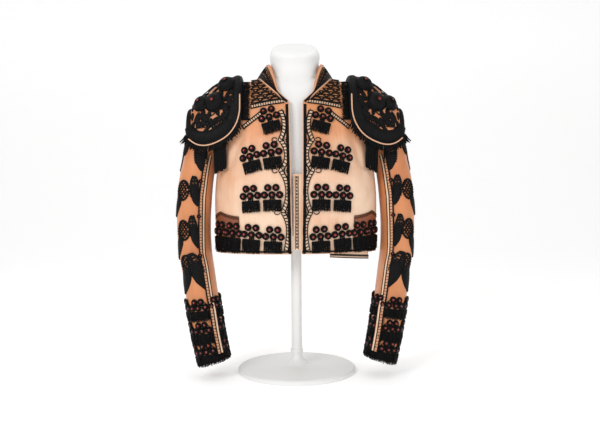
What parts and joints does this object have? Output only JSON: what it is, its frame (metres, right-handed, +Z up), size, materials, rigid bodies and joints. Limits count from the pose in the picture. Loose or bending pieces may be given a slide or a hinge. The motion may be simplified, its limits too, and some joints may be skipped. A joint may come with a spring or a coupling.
{
  "type": "matador jacket on a limbless dress form with stand",
  "caption": "Short peach satin bullfighter's jacket with black cord work, fringe and padded shoulder pieces, on a white neck-and-chest dress form with a round stand.",
  "frame": {"origin": "middle of the stand's flat underside", "axes": "+Z up, the jacket's front faces -Y, the wearer's left is at +X"},
  "size_m": [0.5598, 0.28, 0.7868],
  "materials": {
    "peach_satin": "pale peach silk satin, soft sheen",
    "copper_satin": "copper orange silk satin, soft sheen",
    "dark_satin": "brown corded satin",
    "black_cord": "black silk cord, beads and fringe",
    "form_white": "smooth white painted shell"
  },
  "bodies": {
    "root": {"back": "peach_satin", "collar": "black_cord", "cuff_fringe_1_left": "black_cord", "cuff_fringe_1_right": "black_cord", "cuff_fringe_2_left": "black_cord", "cuff_fringe_2_right": "black_cord", "cuff_fringe_3_left": "black_cord", "cuff_fringe_3_right": "black_cord", "dress_form": "form_white", "edge_braid_left": "black_cord", "edge_braid_right": "black_cord", "front_left": "peach_satin", "front_right": "peach_satin", "front_underlap": "peach_satin", "golpes_left_row_1": "black_cord", "golpes_left_row_2": "black_cord", "golpes_left_row_3": "black_cord", "golpes_left_row_4": "black_cord", "golpes_right_row_1": "black_cord", "golpes_right_row_2": "black_cord", "golpes_right_row_3": "black_cord", "golpes_right_row_4": "black_cord", "hem_tab": "black_cord", "pad_fringe_back_left": "black_cord", "pad_fringe_back_right": "black_cord", "pad_fringe_front_left": "black_cord", "pad_fringe_front_right": "black_cord", "pad_inner_fringe_back_left": "black_cord", "pad_inner_fringe_back_right": "black_cord", "pad_inner_fringe_front_left": "black_cord", "pad_inner_fringe_front_right": "black_cord", "pocket_welt_left": "dark_satin", "pocket_welt_right": "dark_satin", "shoulder_piece_left": "black_cord", "shoulder_piece_right": "black_cord", "sleeve_band_left": "black_cord", "sleeve_band_right": "black_cord", "sleeve_left_top": "copper_satin", "sleeve_left_under": "copper_satin", "sleeve_right_top": "copper_satin", "sleeve_right_under": "copper_satin", "stand": "form_white", "tassel_left": "black_cord", "tassel_right": "black_cord"}
  },
  "joints": []
}
